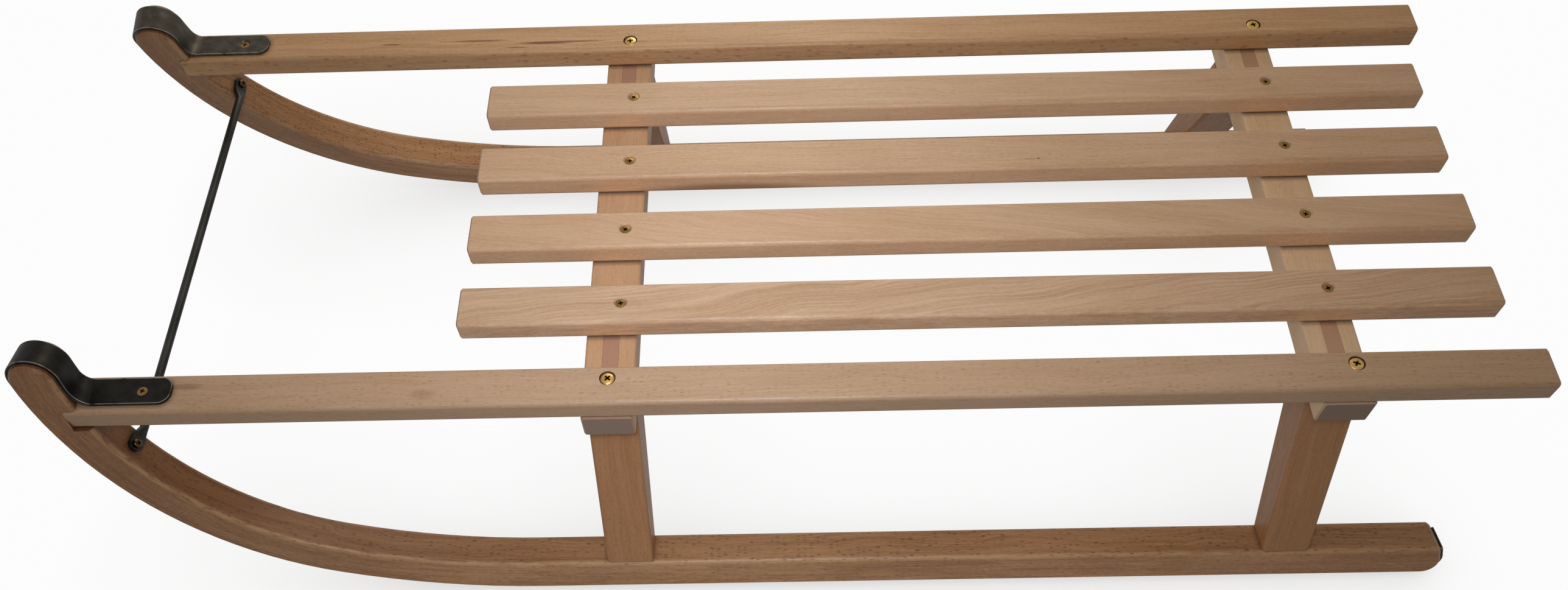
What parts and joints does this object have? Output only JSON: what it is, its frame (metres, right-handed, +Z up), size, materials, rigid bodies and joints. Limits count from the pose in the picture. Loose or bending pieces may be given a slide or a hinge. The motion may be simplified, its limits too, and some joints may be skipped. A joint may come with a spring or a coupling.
{
  "type": "davos sled",
  "caption": "Wooden davos sled with steel-shod bent runners, leaning tenoned posts, crossbars, side rails, seat slats and a steel tow rod between the noses.",
  "frame": {"origin": "on the ground under the middle of the sled's length and width", "axes": "+X forward to the noses, +Y to the sled's left, +Z up"},
  "size_m": [1, 0.4406, 0.2469],
  "materials": {
    "seat_beech": "sanded, clear satin varnish",
    "post_beech": "sanded, clear satin varnish",
    "runner_beech": "steamed and bent, clear satin varnish",
    "strap_steel": "dark rolled steel, edges burnished",
    "rod_steel": "dark drawn steel"
  },
  "bodies": {
    "root": {"runner_left": "runner_beech", "runner_right": "runner_beech", "strap_left": "strap_steel", "strap_right": "strap_steel", "rail_left": "seat_beech", "rail_right": "seat_beech", "slat_1": "seat_beech", "slat_2": "seat_beech", "slat_3": "seat_beech", "slat_4": "seat_beech", "crossbar_front": "seat_beech", "crossbar_rear": "seat_beech", "post_front_left": "post_beech", "post_front_right": "post_beech", "post_rear_left": "post_beech", "post_rear_right": "post_beech", "tow_rod": "rod_steel"}
  },
  "joints": []
}
